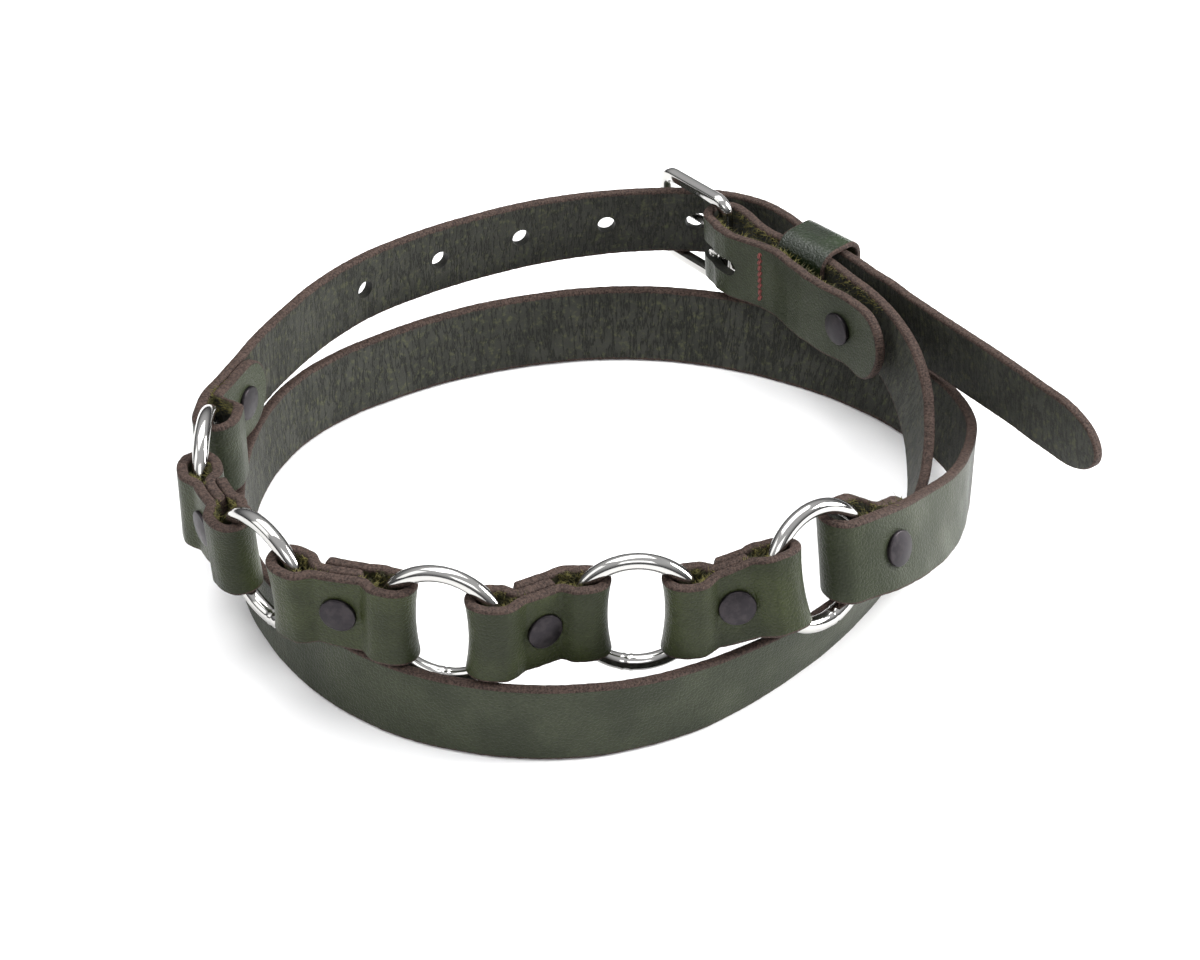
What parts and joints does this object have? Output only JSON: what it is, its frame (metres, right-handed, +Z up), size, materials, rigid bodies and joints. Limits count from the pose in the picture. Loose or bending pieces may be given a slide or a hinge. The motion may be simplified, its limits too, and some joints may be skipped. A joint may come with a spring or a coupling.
{
  "type": "double ring belt",
  "caption": "Leather belt wound twice in a standing coil, its front a chain of metal rings joined by riveted leather links, closed by a single-prong buckle with a keeper.",
  "frame": {"origin": "centre of the bounding box in plan, at the bottom edge of the lower coil", "axes": "+Z up, the chain of rings faces -Y, the buckle and the free end lie towards +X and +Y"},
  "size_m": [0.228, 0.2006, 0.0507],
  "materials": {
    "strap_leather": "smooth dark olive green grain, rough grey-green back, brown cut edges",
    "link_leather": "smooth dark olive green grain",
    "nickel": "polished nickel plate",
    "gunmetal": "dark gunmetal plate"
  },
  "bodies": {
    "root": {"long_strap": "strap_leather", "tail_strap": "strap_leather", "ring_link_1": "link_leather", "ring_link_2": "link_leather", "ring_link_3": "link_leather", "ring_link_4": "link_leather", "ring_1": "nickel", "ring_2": "nickel", "ring_3": "nickel", "ring_4": "nickel", "ring_5": "nickel", "rivet_1": "gunmetal", "rivet_2": "gunmetal", "rivet_3": "gunmetal", "rivet_4": "gunmetal", "rivet_5": "gunmetal", "rivet_6": "gunmetal", "rivet_7": "gunmetal", "buckle_frame": "nickel", "buckle_prong": "nickel", "keeper": "link_leather"}
  },
  "joints": []
}
